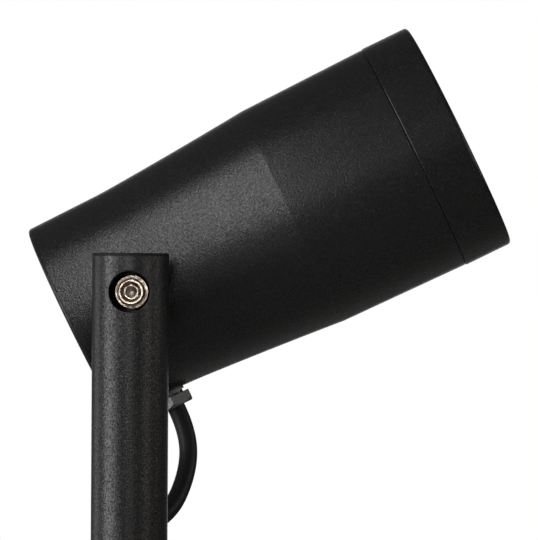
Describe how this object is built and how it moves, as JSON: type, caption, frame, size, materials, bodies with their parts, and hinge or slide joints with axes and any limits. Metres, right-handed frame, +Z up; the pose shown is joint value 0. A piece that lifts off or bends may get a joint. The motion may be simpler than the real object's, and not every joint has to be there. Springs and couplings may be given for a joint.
{
  "type": "garden spike spotlight",
  "caption": "Black garden spotlight: a tapered round head tilts beside a straight tube post on a cruciform ground spike, with a short cable loop from head to post.",
  "frame": {"origin": "on the post's axis at ground level, which is the underside of the spike's flange", "axes": "+Z up along the post; the head aims towards +X and stands beside the post at +Y; the blades of the spike are below Z = 0"},
  "size_m": [0.1808, 0.1398, 0.5265],
  "materials": {
    "cast_black": "fine textured black powder coat on cast aluminium",
    "tube_black": "fine textured black powder coat on aluminium tube",
    "stainless": "turned stainless steel",
    "nickel": "dull nickel plate",
    "cable_rubber": "satin black rubber jacket",
    "seal_rubber": "matt black rubber",
    "clear_glass": "clear toughened glass",
    "reflector_bright": "bright anodised spun aluminium",
    "bare_aluminium": "machined aluminium",
    "phosphor": "yellow phosphor on a white board",
    "white_plastic": "white moulded plastic",
    "black_plastic": "moulded black plastic",
    "wire_red": "coloured wire insulation",
    "brass": "machined brass"
  },
  "bodies": {
    "spike": {"ground_spike": "cast_black", "spike_grub_screws": "stainless"},
    "post": {"post_tube": "tube_black", "post_cap": "tube_black", "cable_grommet": "seal_rubber", "outlet_grommet": "seal_rubber", "saddle_spacer": "cast_black", "inner_saddle": "stainless", "lock_washer": "stainless", "cable_loop": "cable_rubber", "post_cable": "cable_rubber", "cable_connector": "black_plastic"},
    "head": {"head_housing": "cast_black", "pivot_bolt": "stainless", "pivot_insert": "brass", "bezel_seal": "seal_rubber", "heat_spreader": "bare_aluminium", "spreader_screws": "stainless", "light_chip": "phosphor", "chip_holder": "white_plastic", "holder_screws": "stainless", "reflector": "reflector_bright", "driver_bracket": "bare_aluminium", "bracket_screws": "stainless", "led_driver": "white_plastic", "terminal_block": "white_plastic", "earth_tag": "brass", "earth_screw": "stainless", "light_wires": "wire_red", "supply_cores": "wire_red", "gland_washer": "seal_rubber", "gland_body": "nickel", "gland_seal": "seal_rubber", "gland_nut": "nickel", "head_cable": "cable_rubber"},
    "lens": {"front_glass": "clear_glass", "glass_channel": "seal_rubber"},
    "bezel": {"bezel_ring": "cast_black"}
  },
  "joints": [
    {"name": "post_swivel", "type": "hinge", "parent": "spike", "child": "post", "pos_m": [0, 0, 0.02], "axis": [0, 0, 1], "range_deg": [-180, 180]},
    {"name": "head_tilt", "type": "hinge", "parent": "post", "child": "head", "pos_m": [0, 0.0578, 0.227], "axis": [0, -1, 0], "range_deg": [-60, 60], "deforming": ["cable_loop"]},
    {"name": "bezel_travel", "type": "slide", "parent": "head", "child": "lens", "axis": [0.8965, 0, 0.4431], "range_m": [0, 0.006]},
    {"name": "bezel_turn", "type": "hinge", "parent": "lens", "child": "bezel", "pos_m": [0, 0.0578, 0.227], "axis": [0.8965, 0, 0.4431], "range_deg": [0, 1080]}
  ],
  "couplings": [
    {"joint": "bezel_travel", "follows": "bezel_turn", "m_per_rad": 0.0003183}
  ]
}
